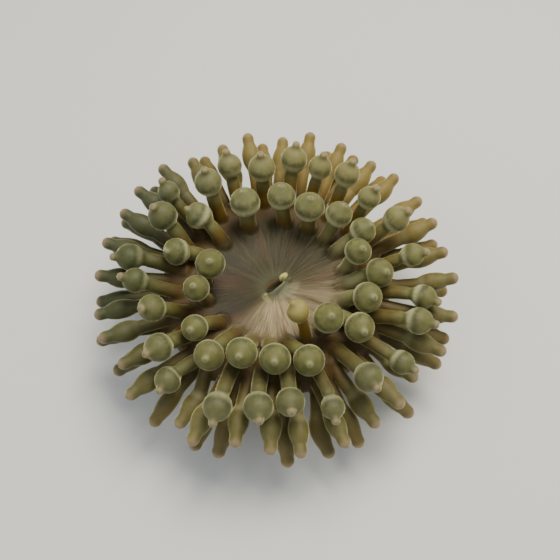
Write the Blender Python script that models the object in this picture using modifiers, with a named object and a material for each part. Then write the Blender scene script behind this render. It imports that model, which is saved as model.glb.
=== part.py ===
"""Bubble-tip sea anemone, open and at rest: the CAD solids, in metres, +Z up.

The animal stands on its pedal disc. A column carries the oral disc, whose mouth slit is at the
centre, and a crown of a hundred tentacles in four cycles grows from the disc and its margin.
The origin is at the middle of the pedal disc, on the floor. Azimuth 0 points along +X.
"""

import math
from dataclasses import dataclass
from typing import NamedTuple

import bmesh
import bpy
import numpy as np
from mathutils import Matrix, Vector

# Driving dimensions, metres and degrees
RIM_HEIGHT = 0.056
FOOT_RADIUS = 0.044
WAIST_RADIUS = 0.0385
DISC_RADIUS = 0.047
CROWN_RADIUS = 0.065
MOUTH_RADIUS = 0.0115
MOUTH_DEPTH = 0.008
SLIT_LENGTH = 0.0136
SLIT_WIDTH = 0.0030
SLIT_AZIMUTH = 41.0
THROAT_DEPTH = 0.010
GAP = 0.0003
MERGE = 0.00001

# The oral disc's funnel, the lips and the slit
RIM_LIP = 0.001
FUNNEL_POWER = 1.6
FUNNEL_RINGS = (0.036, 0.025)
LIP_RISE = 0.0012
LIP_SHOULDER = 0.0008
LIP_SHARE = 0.55
SLIT_RISE = 0.0035
SLIT_SIDES = 12

# How far the foot's edge is rounded, and how the column widens from its waist
FOOT_EDGE = 0.0018
FOOT_ROUND = 0.0008
FOOT_CREST = 0.4
FOOT_NECK = 0.0020
WAIST_FLARE = 0.0043

# The margin's outline, as radius and drop below the rim
MARGIN = (
    (0.0560, -0.0002),
    (CROWN_RADIUS - 0.0030, 0.0030),
    (CROWN_RADIUS, 0.0085),
    (CROWN_RADIUS - 0.0015, 0.0130),
    (0.0570, 0.0190),
)

# Heights of the thin cuts that part the column
FOOT_TOP = 0.0045
COLUMN_SPLIT = 0.0235
COLUMN_TOP = 0.034
CROWN_FOOT = 0.0300

# How the crown is divided and how finely round shapes are faceted
SECTORS = 8
FIRST_SECTOR = 15.0
TURN_STEPS = 32
MOUTH_STEPS = 20
INNER_BEVEL = 2
OUTER_BEVEL = 1
SHARP_ANGLE = 40.0

# Where an inner tentacle is cut: base and stalk part this far from its root, stalk and bulb at this
# share of the bulb's half length before its middle
ROOT_DEPTH = 0.0040
TIP_SHOULDER = 0.6
TIP_END = 0.15
BASE_LENGTH = 0.0060
NECK_SHARE = 0.94
CUT_PROBE = 0.002

# How tentacles lie: the whole crown tilts toward -Y, and neighbours keep apart
SEED = 7
BEND_STEPS = 10
CLEARANCE = 0.0012
NEIGHBOURHOOD = 0.075
START_GIRTH = 0.3
SWELL_ROUNDS = 60
SETTLE_ROUNDS = 200
SETTLE_TOLERANCE = 0.00005
LEAST_EASE = 0.5
LONGEST_STEP = 0.0006
ROOTED_STEPS = 2
ROOT_SWELL = 0.15
ROOT_SWELL_REACH = 0.0035
TAPER = 0.1

# The tips turn up toward the light, over the stretch between two shares of the length
LIGHT_AZIMUTH = 270.0
LIGHT_LEAN = 25.0
UPTURN_START = 0.30
UPTURN_END = 0.75


class Cycle(NamedTuple):
    """One ring of tentacles: where it roots, and the size and lie of each tentacle in it."""

    name: str
    root_radius: float
    root_drop: float
    azimuths: tuple
    leans: tuple
    sways: tuple
    girths: tuple
    upturns: tuple
    drifts: tuple
    root_lean: float
    tilt: float
    length: float
    stalk_radius: float
    bulb_radius: float
    bulb_half: float
    tip_radius: float
    tip_length: float
    blend: float
    wander: float
    unrest: float
    stalk_marks: tuple
    bulb_marks: tuple


def rows(*places):
    """Return azimuths at the same places in every crown sector, given in degrees from the sector's start."""
    width = 360.0 / SECTORS
    return tuple(FIRST_SECTOR + width * sector + place for sector in range(SECTORS) for place in places)


INNER = Cycle(
    name="inner",
    root_radius=0.0398,
    root_drop=0.0,
    azimuths=(9, 28, 43, 61, 82, 113, 140, 161, 181, 199, 222, 238, 252, 266, 279, 295, 311, 325, 341, 356),
    leans=(30, 50, 32, 16, 22, 22, 78, 80, -22, 12, 64, 80, 56, 50, 60, -30, 6, 80, 56, 72),
    sways=(-16, -4, -6, -6, -8, -10, 12, 30, 4, 6, 6, 6, -2, 4, -4, 44, 0, -16, -8, 6),
    girths=(0.9, 0.93, 0.93, 1.05, 1.0, 1.06, 0.95, 0.94, 1.0, 0.88, 0.88, 1.0, 1.0, 1.0, 1.03, 0.76, 1.0, 1.0,
            1.0, 1.0),
    upturns=(0.7, 0.5, 0.45, 0.4, 0.35, 0.3, 0.5, 0.6, 0.9, 0.8, 0.8, 0.8, 0.8, 0.8, 0.8, 0.0, 0.7, 0.75,
             0.75, 0.75),
    drifts=(0.0,) * 20,
    root_lean=0.38,
    tilt=12.0,
    length=0.0325,
    stalk_radius=0.0043,
    bulb_radius=0.0081,
    bulb_half=0.0081,
    tip_radius=0.0021,
    tip_length=0.0024,
    blend=0.0016,
    wander=0.0,
    unrest=0.0,
    stalk_marks=(BASE_LENGTH,),
    bulb_marks=(-NECK_SHARE, -0.62, 0.0, 0.62),
)
SECOND = Cycle(
    name="second",
    root_radius=0.0530,
    root_drop=0.001,
    azimuths=rows(7.5, 22.5, 37.5),
    leans=(50, 35, 37, 37, 45, 33, 47, 25, 46, 35, 72, 58, 35, 54, 62, 76, 58, 48, 76, 60, 78, 72, 84, 60),
    sways=(-6, -10, 6, -4, -14, 4, -6, -6, -10, 20, 14, -14, 12, 6, 10, 4, 10, 6, -6, -8, 0, 0, -12, -14),
    girths=(0.94, 0.86, 1.02, 0.88, 1.0, 1.06, 0.9, 1.0, 0.84, 1.05, 1.0, 0.95, 0.96, 0.96, 0.98, 1.02, 0.98,
            1.02, 0.85, 1.0, 0.85, 1.02, 0.88, 0.85),
    upturns=(0.3,) * 24,
    drifts=(0.0,) * 24,
    root_lean=0.8,
    tilt=11.0,
    length=0.0415,
    stalk_radius=0.0042,
    bulb_radius=0.0075,
    bulb_half=0.0080,
    tip_radius=0.0026,
    tip_length=0.0036,
    blend=0.0020,
    wander=0.8,
    unrest=3.0,
    stalk_marks=(0.011,),
    bulb_marks=(-0.75, 0.0, 0.62),
)
THIRD = Cycle(
    name="third",
    root_radius=0.058,
    root_drop=0.004,
    azimuths=rows(5.625, 16.875, 28.125, 39.375),
    leans=(84,) * 32,
    sways=(0,) * 32,
    girths=(1,) * 32,
    upturns=(0.1,) * 32,
    drifts=(0.0,) * 32,
    root_lean=1.0,
    tilt=10.0,
    length=0.0425,
    stalk_radius=0.0039,
    bulb_radius=0.0057,
    bulb_half=0.0085,
    tip_radius=0.0035,
    tip_length=0.0065,
    blend=0.0026,
    wander=0.2,
    unrest=8.0,
    stalk_marks=(0.013,),
    bulb_marks=(0.0,),
)
OUTER = Cycle(
    name="outer",
    root_radius=0.0625,
    root_drop=0.010,
    azimuths=rows(5.5, 12.0, 33.5),
    leans=(92, 90, 88, 84, 84, 84, 84, 84, 88, 92, 94, 96, *(100,) * 12),
    sways=(0,) * 24,
    girths=(1,) * 24,
    upturns=(0.0,) * 24,
    drifts=(-0.005, 0.0, 0.0) * 7 + (0.0, 0.0, 0.0),
    root_lean=0.97,
    tilt=8.0,
    length=0.0400,
    stalk_radius=0.0038,
    bulb_radius=0.0050,
    bulb_half=0.0095,
    tip_radius=0.0037,
    tip_length=0.0055,
    blend=0.0026,
    wander=0.5,
    unrest=8.0,
    stalk_marks=(),
    bulb_marks=(0.0,),
)
CYCLES = (INNER, SECOND, THIRD, OUTER)

# Relative spread of each tentacle's length and girth, and its random sway in degrees
LENGTH_SPREAD = 0.07
GIRTH_SPREAD = 0.05
SWAY_SPREAD = 8.0


def heading(azimuth, lean):
    """Return the unit directions at some azimuths, leaning from the vertical; angles in radians."""
    return np.stack(
        (np.sin(lean) * np.cos(azimuth), np.sin(lean) * np.sin(azimuth), np.cos(lean)), axis=-1
    )


def smooth_maximum(first, second, blend):
    """Return the larger of two arrays, rounded over the given width where they cross."""
    share = np.clip(0.5 + 0.5 * (first - second) / blend, 0.0, 1.0)
    return second + (first - second) * share + blend * share * (1.0 - share)


@dataclass
class Tentacle:
    """One tentacle: its cycle, its place in it, and how it bends; angles in radians."""

    cycle: Cycle
    number: int
    azimuth: float
    lean: float
    sway: float
    length: float
    girth: float
    upturn: float
    shift: np.ndarray

    @property
    def root(self):
        """Return the point where the middle line leaves the body."""
        reach = self.cycle.root_radius
        height = RIM_HEIGHT - self.cycle.root_drop
        return np.array((reach * math.cos(self.azimuth), reach * math.sin(self.azimuth), height))

    @property
    def bulb_middle(self):
        """Return the distance along the tentacle to the middle of its bulb."""
        return self.length - self.cycle.tip_length - self.cycle.bulb_half * self.girth

    def line(self, steps=BEND_STEPS):
        """Return the middle line as points at equal distances from root to tip."""
        share = (np.arange(steps) + 0.5) / steps
        lean = self.lean * (self.cycle.root_lean + (1.0 - self.cycle.root_lean) * 2.0 * share)
        course = heading(self.azimuth + self.sway * share, lean)
        light = heading(math.radians(LIGHT_AZIMUTH), math.radians(LIGHT_LEAN))
        rise = np.clip((share - UPTURN_START) / (UPTURN_END - UPTURN_START), 0.0, 1.0)
        turned = (self.upturn * rise * rise * (3.0 - 2.0 * rise))[:, None]
        course = course * (1.0 - turned) + light * turned
        course *= self.length / steps / np.linalg.norm(course, axis=1)[:, None]
        points = np.vstack((self.root, self.root + np.cumsum(course, axis=0)))
        return points + self.ease(np.linspace(0.0, 1.0, steps + 1))[:, None] * self.shift

    def ease(self, shares):
        """Return how far points at some shares of the length follow a shift of the bulb."""
        reach = np.clip(shares * self.length / self.bulb_middle, 0.0, 1.0)
        return reach * reach * (3.0 - 2.0 * reach)

    def at(self, distances):
        """Return the points of the middle line at some distances; a negative one lies below the root."""
        line = self.line()
        marks = np.linspace(0.0, self.length, len(line))
        points = np.stack([np.interp(distances, marks, line[:, axis]) for axis in range(3)], axis=1)
        inward = (line[0] - line[1]) / marks[1]
        return points + np.clip(-np.asarray(distances), 0.0, None)[:, None] * inward

    def radii(self, distances):
        """Return the radius at some distances: a swollen root, a stalk, a round bulb and a finger tip."""
        cycle = self.cycle
        along = np.clip(distances, 0.0, self.length)
        offset = (along - self.bulb_middle) / (cycle.bulb_half * self.girth)
        bulb = cycle.bulb_radius * self.girth * np.sqrt(np.clip(1.0 - offset ** 2, 0.0, 1.0))
        swell = 1.0 + ROOT_SWELL * np.exp(-along / ROOT_SWELL_REACH) - TAPER * along / self.length
        dome = np.clip((along - self.length + cycle.tip_radius) / cycle.tip_radius, 0.0, 1.0)
        tip = cycle.tip_radius * np.sqrt(1.0 - dome ** 2)
        rest = np.where(along < self.bulb_middle, cycle.stalk_radius * self.girth * swell, tip)
        return smooth_maximum(bulb, rest, cycle.blend)


def grow_crown():
    """Return every tentacle of the crown, with its own seeded size and bend, before it is settled."""
    chance = np.random.default_rng(SEED)
    crown = []
    for cycle in CYCLES:
        poses = zip(cycle.azimuths, cycle.leans, cycle.sways, cycle.girths, cycle.upturns, cycle.drifts)
        for number, (azimuth, lean, sway, girth, upturn, drift) in enumerate(poses, start=1):
            random_turn, random_lean, random_sway, random_length, random_girth = chance.uniform(-1.0, 1.0, 5)
            steady = cycle.unrest == 0.0
            tilt = cycle.tilt * math.sin(math.radians(azimuth))
            crown.append(
                Tentacle(
                    cycle=cycle,
                    number=number,
                    azimuth=math.radians(azimuth + random_turn * cycle.wander),
                    lean=math.radians(lean + random_lean * cycle.unrest - tilt),
                    sway=math.radians(sway + (0.0 if steady else random_sway * SWAY_SPREAD)),
                    length=cycle.length * (1.0 + (0.0 if steady else random_length * LENGTH_SPREAD)),
                    girth=girth * (1.0 + (0.0 if steady else random_girth * GIRTH_SPREAD)),
                    upturn=upturn,
                    shift=drift * heading(math.radians(azimuth + 90.0), math.radians(90.0)),
                )
            )
    return crown


def settle(crown):
    """Shift the bulbs apart, round by round, until no tentacle presses into another or into the rim.

    They start thin and swell to their full girth on the way, so that none is trapped on the wrong side.
    """
    shares = np.linspace(0.0, 1.0, BEND_STEPS + 1)[1:]
    radii = np.array([tentacle.radii(shares * tentacle.length) for tentacle in crown])
    roots = np.array([tentacle.root for tentacle in crown])
    near = np.linalg.norm(roots[:, None] - roots[None], axis=2) < NEIGHBOURHOOD
    first, second = np.nonzero(np.triu(near, 1))
    reach = radii[first][:, :, None] + radii[second][:, None] + CLEARANCE
    reach[:, :ROOTED_STEPS, :ROOTED_STEPS] = 0.0
    inner = np.array([tentacle.cycle is INNER for tentacle in crown])[:, None]
    free = inner & (shares * INNER.length > 2.0 * BASE_LENGTH)[None]
    for turn in range(SETTLE_ROUNDS):
        swelling = min(1.0, START_GIRTH + (1.0 - START_GIRTH) * turn / SWELL_ROUNDS)
        lines = np.array([tentacle.line()[1:] for tentacle in crown])
        away = lines[first][:, :, None] - lines[second][:, None]
        distance = np.linalg.norm(away, axis=3)
        depth = np.clip(swelling * reach - distance, 0.0, None)
        shove = away * (0.5 * depth / distance)[..., None]
        push = np.zeros_like(lines)
        add_mean(push, first, shove, depth, 2)
        add_mean(push, second, -shove, depth, 1)
        sunk = RIM_HEIGHT + CLEARANCE + radii - lines[:, :, 2]
        push[:, :, 2] += np.where(free, np.clip(sunk, 0.0, None), 0.0)
        if swelling == 1.0 and np.abs(push).max() < SETTLE_TOLERANCE:
            return
        for tentacle, shoves in zip(crown, push):
            yield_to(tentacle, shoves, shares)


def add_mean(push, owners, shove, depth, axis):
    """Add to each owner's points the mean shove over the contacts along one axis of the pair table."""
    touches = np.zeros(push.shape[:2])
    np.add.at(touches, owners, (depth > 0.0).sum(axis=axis))
    total = np.zeros_like(push)
    np.add.at(total, owners, shove.sum(axis=axis))
    push += total / np.maximum(touches, 1.0)[..., None]


def yield_to(tentacle, shove, shares):
    """Shift one tentacle's bulb by the strongest of the shoves on its middle line."""
    strongest = int(np.argmax(np.abs(shove).sum(axis=1)))
    step = shove[strongest] / max(float(tentacle.ease(shares[strongest])), LEAST_EASE)
    tentacle.shift = tentacle.shift + step * min(1.0, LONGEST_STEP / max(np.linalg.norm(step), LONGEST_STEP))


def material(name, colour, roughness):
    """Return a plain Principled material."""
    result = bpy.data.materials.new(name)
    result.use_nodes = True
    shader = result.node_tree.nodes["Principled BSDF"]
    shader.inputs["Base Color"].default_value = (*colour, 1.0)
    shader.inputs["Roughness"].default_value = roughness
    shader.inputs["Metallic"].default_value = 0.0
    return result


def add_object(name, mesh, collection, skin=None):
    """Link a mesh as an object, with its material, and return it."""
    result = bpy.data.objects.new(name, mesh)
    collection.objects.link(result)
    if skin is not None:
        mesh.materials.clear()
        mesh.materials.append(skin)
    return result


def evaluated_mesh(source):
    """Return a new mesh of an object as its modifiers or its bevel make it."""
    bpy.context.view_layer.update()
    depsgraph = bpy.context.evaluated_depsgraph_get()
    return bpy.data.meshes.new_from_object(source.evaluated_get(depsgraph))


def remove(item):
    """Delete an object from the file."""
    bpy.data.objects.remove(item, do_unlink=True)


def turned(name, profile, collection, skin, steps=TURN_STEPS):
    """Turn a profile of (radius, height), run down its outer side, into a closed solid about Z.

    A profile that never meets the axis is closed on itself and gives a ring.
    """
    mesh = bpy.data.meshes.new(name)
    count = len(profile)
    edges = [(index, index + 1) for index in range(count - 1)]
    if min(radius for radius, _ in profile) > 0.0:
        edges.append((count - 1, 0))
    mesh.from_pydata([(radius, 0.0, height) for radius, height in profile], edges, [])
    result = add_object(name, mesh, collection, skin)
    screw = result.modifiers.new("Turn", "SCREW")
    screw.steps = steps
    screw.render_steps = steps
    screw.use_merge_vertices = True
    screw.merge_threshold = MERGE
    result.data = evaluated_mesh(result)
    result.modifiers.clear()
    return result


def combine(target, tool, operation):
    """Cut a tool out of a target, or join it on, and delete the tool."""
    boolean = target.modifiers.new("Combine", "BOOLEAN")
    boolean.operation = operation
    boolean.object = tool
    skin = target.data.materials[0]
    target.data = evaluated_mesh(target)
    target.modifiers.clear()
    target.data.materials.clear()
    target.data.materials.append(skin)
    remove(tool)


def tube(name, tentacle, distances, bevel, collection, skin):
    """Return a closed tube round a tentacle's middle line between its first and last distance.

    The facets are grown so that each section keeps the area of the true circle.
    """
    sides = 4 + 2 * bevel
    grown = math.sqrt(2.0 * math.pi / (sides * math.sin(2.0 * math.pi / sides)))
    curve = bpy.data.curves.new(name, "CURVE")
    curve.dimensions = "3D"
    curve.bevel_depth = 1.0
    curve.bevel_resolution = bevel
    curve.use_fill_caps = True
    spline = curve.splines.new("POLY")
    spline.points.add(len(distances) - 1)
    places = zip(spline.points, tentacle.at(distances), tentacle.radii(distances))
    for point, position, radius in places:
        point.co = (*position, 1.0)
        point.radius = radius * grown
    wire = add_object(name, curve, collection)
    mesh = evaluated_mesh(wire)
    remove(wire)
    shell = bmesh.new()
    shell.from_mesh(mesh)
    bmesh.ops.remove_doubles(shell, verts=shell.verts[:], dist=MERGE)
    shell.to_mesh(mesh)
    shell.free()
    return add_object(name, mesh, collection, skin)


def stations(tentacle):
    """Return where a tentacle's rings lie: inside the body, along the stalk, over the bulb and at the tip."""
    cycle = tentacle.cycle
    half = cycle.bulb_half * tentacle.girth
    bulb = [tentacle.bulb_middle + share * half for share in cycle.bulb_marks]
    shoulder = tentacle.length - TIP_SHOULDER * cycle.tip_length
    tip = tentacle.length - TIP_END * cycle.tip_radius
    return [-ROOT_DEPTH, *cycle.stalk_marks, *bulb, shoulder, tip]


def trim(item, tentacle, start=None, end=None):
    """Cut an object square across its tentacle's middle line at a start, an end or both."""
    shell = bmesh.new()
    shell.from_mesh(item.data)
    for distance, side in ((start, 1.0), (end, -1.0)):
        if distance is None:
            continue
        before, place, after = tentacle.at([distance - CUT_PROBE, distance, distance + CUT_PROBE])
        bmesh.ops.bisect_plane(
            shell,
            geom=[*shell.verts, *shell.edges, *shell.faces],
            plane_co=place,
            plane_no=(after - before) * side,
            clear_inner=True,
        )
        bmesh.ops.holes_fill(shell, edges=[edge for edge in shell.edges if edge.is_boundary])
    shell.to_mesh(item.data)
    shell.free()
    return item


def build_column(parts, skins):
    """Add the pedal disc and the two lengths of the column."""
    middle = 0.5 * (FOOT_TOP + COLUMN_SPLIT)
    turned(
        "pedal_disc",
        (
            (0.0, FOOT_TOP),
            (FOOT_RADIUS - FOOT_EDGE, FOOT_TOP),
            (FOOT_RADIUS, FOOT_CREST * FOOT_TOP),
            (FOOT_RADIUS - FOOT_ROUND, 0.0),
            (0.0, 0.0),
        ),
        parts,
        skins["foot"],
    )
    turned(
        "column_lower",
        (
            (0.0, COLUMN_SPLIT),
            (WAIST_RADIUS + WAIST_FLARE, COLUMN_SPLIT),
            (WAIST_RADIUS, middle),
            (FOOT_RADIUS - FOOT_NECK, FOOT_TOP + GAP),
            (0.0, FOOT_TOP + GAP),
        ),
        parts,
        skins["column"],
    )
    turned(
        "column_upper",
        (
            (0.0, COLUMN_TOP),
            (DISC_RADIUS, COLUMN_TOP),
            (DISC_RADIUS, CROWN_FOOT),
            (WAIST_RADIUS + WAIST_FLARE, COLUMN_SPLIT + GAP),
            (0.0, COLUMN_SPLIT + GAP),
        ),
        parts,
        skins["column"],
    )


def disc_height(radius):
    """Return the height of the oral disc's upper face, a shallow funnel that ends level at the rim."""
    share = 1.0 - radius / DISC_RADIUS
    return RIM_HEIGHT + RIM_LIP - (MOUTH_DEPTH + RIM_LIP) * share ** FUNNEL_POWER


def build_disc(parts, cutters, skins):
    """Add the oral disc, with a round seat for the mouth, and return it."""
    radii = (DISC_RADIUS, *FUNNEL_RINGS, MOUTH_RADIUS + GAP)
    seat = disc_height(0.0) - THROAT_DEPTH
    outer = [(radius, disc_height(radius)) for radius in reversed(radii)]
    profile = [
        (0.0, seat - GAP),
        (MOUTH_RADIUS + GAP, seat - GAP),
        *outer,
        (DISC_RADIUS, COLUMN_TOP + GAP),
        (0.0, COLUMN_TOP + GAP),
    ]
    disc = turned("oral_disc", profile, parts, skins["disc"])
    build_mouth(parts, cutters, skins, seat)
    return disc


def build_mouth(parts, cutters, skins, seat):
    """Add the mouth: a round pad in the disc's seat with raised lips round a blind slit."""
    top = disc_height(MOUTH_RADIUS)
    mouth = turned(
        "mouth",
        (
            (0.0, top + LIP_RISE),
            (LIP_SHARE * MOUTH_RADIUS, top + LIP_SHOULDER),
            (MOUTH_RADIUS, top),
            (MOUTH_RADIUS, seat),
            (0.0, seat),
        ),
        parts,
        skins["lips"],
        MOUTH_STEPS,
    )
    slit = bmesh.new()
    bmesh.ops.create_cone(
        slit,
        cap_ends=True,
        segments=SLIT_SIDES,
        radius1=0.5,
        radius2=0.5,
        depth=1.0,
        matrix=Matrix.LocRotScale(
            Vector((0.0, 0.0, top + SLIT_RISE)),
            Matrix.Rotation(math.radians(SLIT_AZIMUTH), 3, "Z"),
            Vector((SLIT_LENGTH, SLIT_WIDTH, THROAT_DEPTH)),
        ),
    )
    mesh = bpy.data.meshes.new("cut_slit")
    slit.to_mesh(mesh)
    slit.free()
    combine(mouth, add_object("cut_slit", mesh, cutters), "DIFFERENCE")


def build_margin(parts, cutters, skins):
    """Add the thick margin round the disc, parted by thin radial cuts, and return its sectors."""
    wall = DISC_RADIUS + GAP
    outline = [(radius, RIM_HEIGHT - drop) for radius, drop in MARGIN]
    profile = [(wall, RIM_HEIGHT + RIM_LIP), *outline, (wall, CROWN_FOOT + GAP)]
    ring = turned("margin", profile, parts, skins["column"])
    width = 360.0 / SECTORS
    for index in range(SECTORS // 2):
        blade = bmesh.new()
        turn = Matrix.Rotation(math.radians(FIRST_SECTOR + width * index), 4, "Z")
        size = Matrix.Diagonal((3.0 * CROWN_RADIUS, GAP, 3.0 * RIM_HEIGHT, 1.0))
        bmesh.ops.create_cube(blade, size=1.0, matrix=turn @ size)
        mesh = bpy.data.meshes.new("cut_margin")
        blade.to_mesh(mesh)
        blade.free()
        combine(ring, add_object("cut_margin", mesh, cutters), "DIFFERENCE")
    sectors = [sector_of(ring, index, parts, skins["tentacle"]) for index in range(SECTORS)]
    remove(ring)
    return sectors


def sector_index(azimuth):
    """Return which crown sector an azimuth in degrees falls in."""
    return int(((azimuth - FIRST_SECTOR) % 360.0) // (360.0 / SECTORS))


def sector_of(ring, index, parts, skin):
    """Return one sector of the cut ring as an object of its own."""
    shell = bmesh.new()
    shell.from_mesh(ring.data)
    strangers = []
    for face in shell.faces:
        middle = face.calc_center_median()
        if sector_index(math.degrees(math.atan2(middle.y, middle.x))) != index:
            strangers.append(face)
    bmesh.ops.delete(shell, geom=strangers, context="FACES")
    name = f"crown_{index + 1}"
    mesh = bpy.data.meshes.new(name)
    shell.to_mesh(mesh)
    shell.free()
    return add_object(name, mesh, parts, skin)


def build_inner(tentacle, disc, parts, skins):
    """Add one inner tentacle: its base joined to the disc, then its stalk and its bulb."""
    name = f"tentacle_{tentacle.number:02d}"
    neck = tentacle.bulb_middle - NECK_SHARE * tentacle.cycle.bulb_half * tentacle.girth
    marks = stations(tentacle)
    base = tube(f"{name}_base", tentacle, marks[:3], OUTER_BEVEL, parts, skins["disc"])
    combine(disc, trim(base, tentacle, end=BASE_LENGTH), "UNION")
    stalk = tube(f"{name}_stalk", tentacle, marks[:4], OUTER_BEVEL, parts, skins["tentacle"])
    trim(stalk, tentacle, start=BASE_LENGTH + GAP, end=neck)
    bulb = tube(f"{name}_bulb", tentacle, marks[1:], INNER_BEVEL, parts, skins["bulb"])
    trim(bulb, tentacle, start=neck + GAP)


def build_crown(crown, disc, sectors, parts, skins):
    """Add every tentacle: the inner cycle in lengths of its own, the others joined to the margin."""
    for tentacle in crown:
        if tentacle.cycle is INNER:
            build_inner(tentacle, disc, parts, skins)
            continue
        branch = tube("branch", tentacle, stations(tentacle), OUTER_BEVEL, parts, skins["tentacle"])
        combine(sectors[sector_index(math.degrees(tentacle.azimuth))], branch, "UNION")


def clear_joint(sectors, cutters):
    """Trim the roots that reach inward through the margin, so that it keeps its gap to the disc."""
    top = RIM_HEIGHT + RIM_LIP
    wall = DISC_RADIUS + GAP
    for sector in sectors:
        core = turned("cut_core", ((0.0, top), (wall, top), (wall, 0.0), (0.0, 0.0)), cutters, None)
        combine(sector, core, "DIFFERENCE")


def main():
    """Clear the scene and build the anemone."""
    for item in list(bpy.data.objects):
        remove(item)
    parts = bpy.data.collections.new("sea_anemone")
    cutters = bpy.data.collections.new("cutters")
    for collection in (parts, cutters):
        bpy.context.scene.collection.children.link(collection)
    skins = {
        "foot": material("foot_skin", (0.32, 0.21, 0.13), 0.55),
        "column": material("column_skin", (0.30, 0.20, 0.12), 0.50),
        "disc": material("disc_skin", (0.13, 0.10, 0.06), 0.50),
        "lips": material("lip_skin", (0.20, 0.19, 0.12), 0.45),
        "tentacle": material("tentacle_skin", (0.20, 0.18, 0.07), 0.42),
        "bulb": material("bulb_skin", (0.27, 0.26, 0.11), 0.38),
    }
    crown = grow_crown()
    settle(crown)
    build_column(parts, skins)
    disc = build_disc(parts, cutters, skins)
    sectors = build_margin(parts, cutters, skins)
    build_crown(crown, disc, sectors, parts, skins)
    clear_joint(sectors, cutters)
    for item in parts.objects:
        item.data.shade_smooth()
        item.data.set_sharp_from_angle(angle=math.radians(SHARP_ANGLE))


if __name__ == "__main__":
    main()
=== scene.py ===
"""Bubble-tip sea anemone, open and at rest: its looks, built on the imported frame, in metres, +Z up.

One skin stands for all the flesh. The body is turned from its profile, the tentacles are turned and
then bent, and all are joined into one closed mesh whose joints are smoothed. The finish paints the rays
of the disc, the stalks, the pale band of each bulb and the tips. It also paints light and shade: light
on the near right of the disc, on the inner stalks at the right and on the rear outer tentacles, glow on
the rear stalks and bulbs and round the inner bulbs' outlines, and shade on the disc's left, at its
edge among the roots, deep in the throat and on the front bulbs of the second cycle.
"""

import logging
from collections import defaultdict
from dataclasses import dataclass, field
from enum import Enum
from functools import partialmethod
from math import cos, pi, radians, sin
from typing import Iterable, Mapping, Sequence

import bmesh
import bpy
import numpy as np
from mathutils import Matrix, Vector, kdtree


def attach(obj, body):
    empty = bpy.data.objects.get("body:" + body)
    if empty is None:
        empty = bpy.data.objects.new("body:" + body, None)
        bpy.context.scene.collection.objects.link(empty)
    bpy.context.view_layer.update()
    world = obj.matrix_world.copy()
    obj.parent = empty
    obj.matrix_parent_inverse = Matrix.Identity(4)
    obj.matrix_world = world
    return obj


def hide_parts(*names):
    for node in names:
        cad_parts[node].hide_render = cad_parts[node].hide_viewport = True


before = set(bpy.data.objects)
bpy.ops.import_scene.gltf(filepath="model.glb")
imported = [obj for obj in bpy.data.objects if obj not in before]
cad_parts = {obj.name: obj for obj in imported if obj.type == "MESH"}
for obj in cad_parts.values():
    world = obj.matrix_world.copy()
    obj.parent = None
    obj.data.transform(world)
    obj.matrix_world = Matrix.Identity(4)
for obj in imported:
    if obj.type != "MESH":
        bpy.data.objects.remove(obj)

LOG = logging.getLogger("anemone")
BODY = "root"

# Named sizes that the body and the crown share, the same as the solids'
RIM_HEIGHT = 0.056
FOOT_RADIUS = 0.044
WAIST_RADIUS = 0.0385
DISC_RADIUS = 0.047
CROWN_RADIUS = 0.065
MOUTH_DEPTH = 0.008
SLIT_AZIMUTH = 41.0
SECTORS = 8
FIRST_SECTOR = 15.0
STRAY = 16

# Units, the distance at which points are one, and which output of a node gives the object's own place
FULL_TURN = 2.0 * pi
CENTIMETRES = 100.0
MILLIMETRES = 1000.0
MERGE = 0.000001
OBJECT_PLACE = 3

Array = np.ndarray
BMesh = bmesh.types.BMesh
Mesh = bpy.types.Mesh
Measure = "Array | Signal"
Number = "Signal | float"


class SkinMap(Enum):
    """The UV maps of the skin."""

    LENGTH = "Length"
    FORM = "Form"
    TRAIT = "Trait"
    BAKE = "OFBake"


class Flesh(Enum):
    """Where a face of the raw skin comes from, kept as its material index while the skin is joined."""

    BODY = 0
    TENTACLE = 1


@dataclass(frozen=True)
class Cycle:
    """One ring of tentacles: where it roots, and the size and lie of each; one number holds for all."""

    name: str
    root_radius: float
    root_drop: float
    azimuths: tuple[float, ...]
    leans: float | tuple[float, ...]
    root_lean: float
    tilt: float
    length: float
    stalk_radius: float
    bulb_radius: float
    bulb_half: float
    tip_radius: float
    tip_length: float
    blend: float
    sides: int
    outerness: float
    sways: float | tuple[float, ...] = 0.0
    girths: float | tuple[float, ...] = 1.0
    upturns: float | tuple[float, ...] = 0.0
    drifts: float | tuple[float, ...] = 0.0
    wander: float = 0.0
    unrest: float = 0.0


def rows(*places: float) -> tuple[float, ...]:
    """Space azimuths, in degrees, so that they stand at the same places in every sector of the crown."""
    width = 360.0 / SECTORS
    return tuple(FIRST_SECTOR + width * sector + place for sector in range(SECTORS) for place in places)


INNER = Cycle(
    name="inner",
    root_radius=0.0398,
    root_drop=0.0,
    azimuths=(9, 28, 43, 61, 82, 113, 140, 161, 181, 199, 222, 238, 252, 266, 279, 295, 311, 325, 341, 356),
    leans=(30, 50, 32, 16, 22, 22, 78, 80, -22, 12, 64, 80, 56, 50, 60, -30, 6, 80, 56, 72),
    sways=(-16, -4, -6, -6, -8, -10, 12, 30, 4, 6, 6, 6, -2, 4, -4, 44, 0, -16, -8, 6),
    girths=(0.9, 0.93, 0.93, 1.05, 1, 1.06, 0.95, 0.94, 1, 0.88, 0.88, 1, 1, 1, 1.03, 0.76, 1, 1, 1, 1),
    upturns=(0.7, 0.5, 0.45, 0.4, 0.35, 0.3, 0.5, 0.6, 0.9, *(0.8,) * 6, 0.0, 0.7, *(0.75,) * 3),
    root_lean=0.38,
    tilt=12.0,
    length=0.0325,
    stalk_radius=0.0043,
    bulb_radius=0.0081,
    bulb_half=0.0081,
    tip_radius=0.0021,
    tip_length=0.0024,
    blend=0.0016,
    sides=24,
    outerness=0.0,
)
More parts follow.
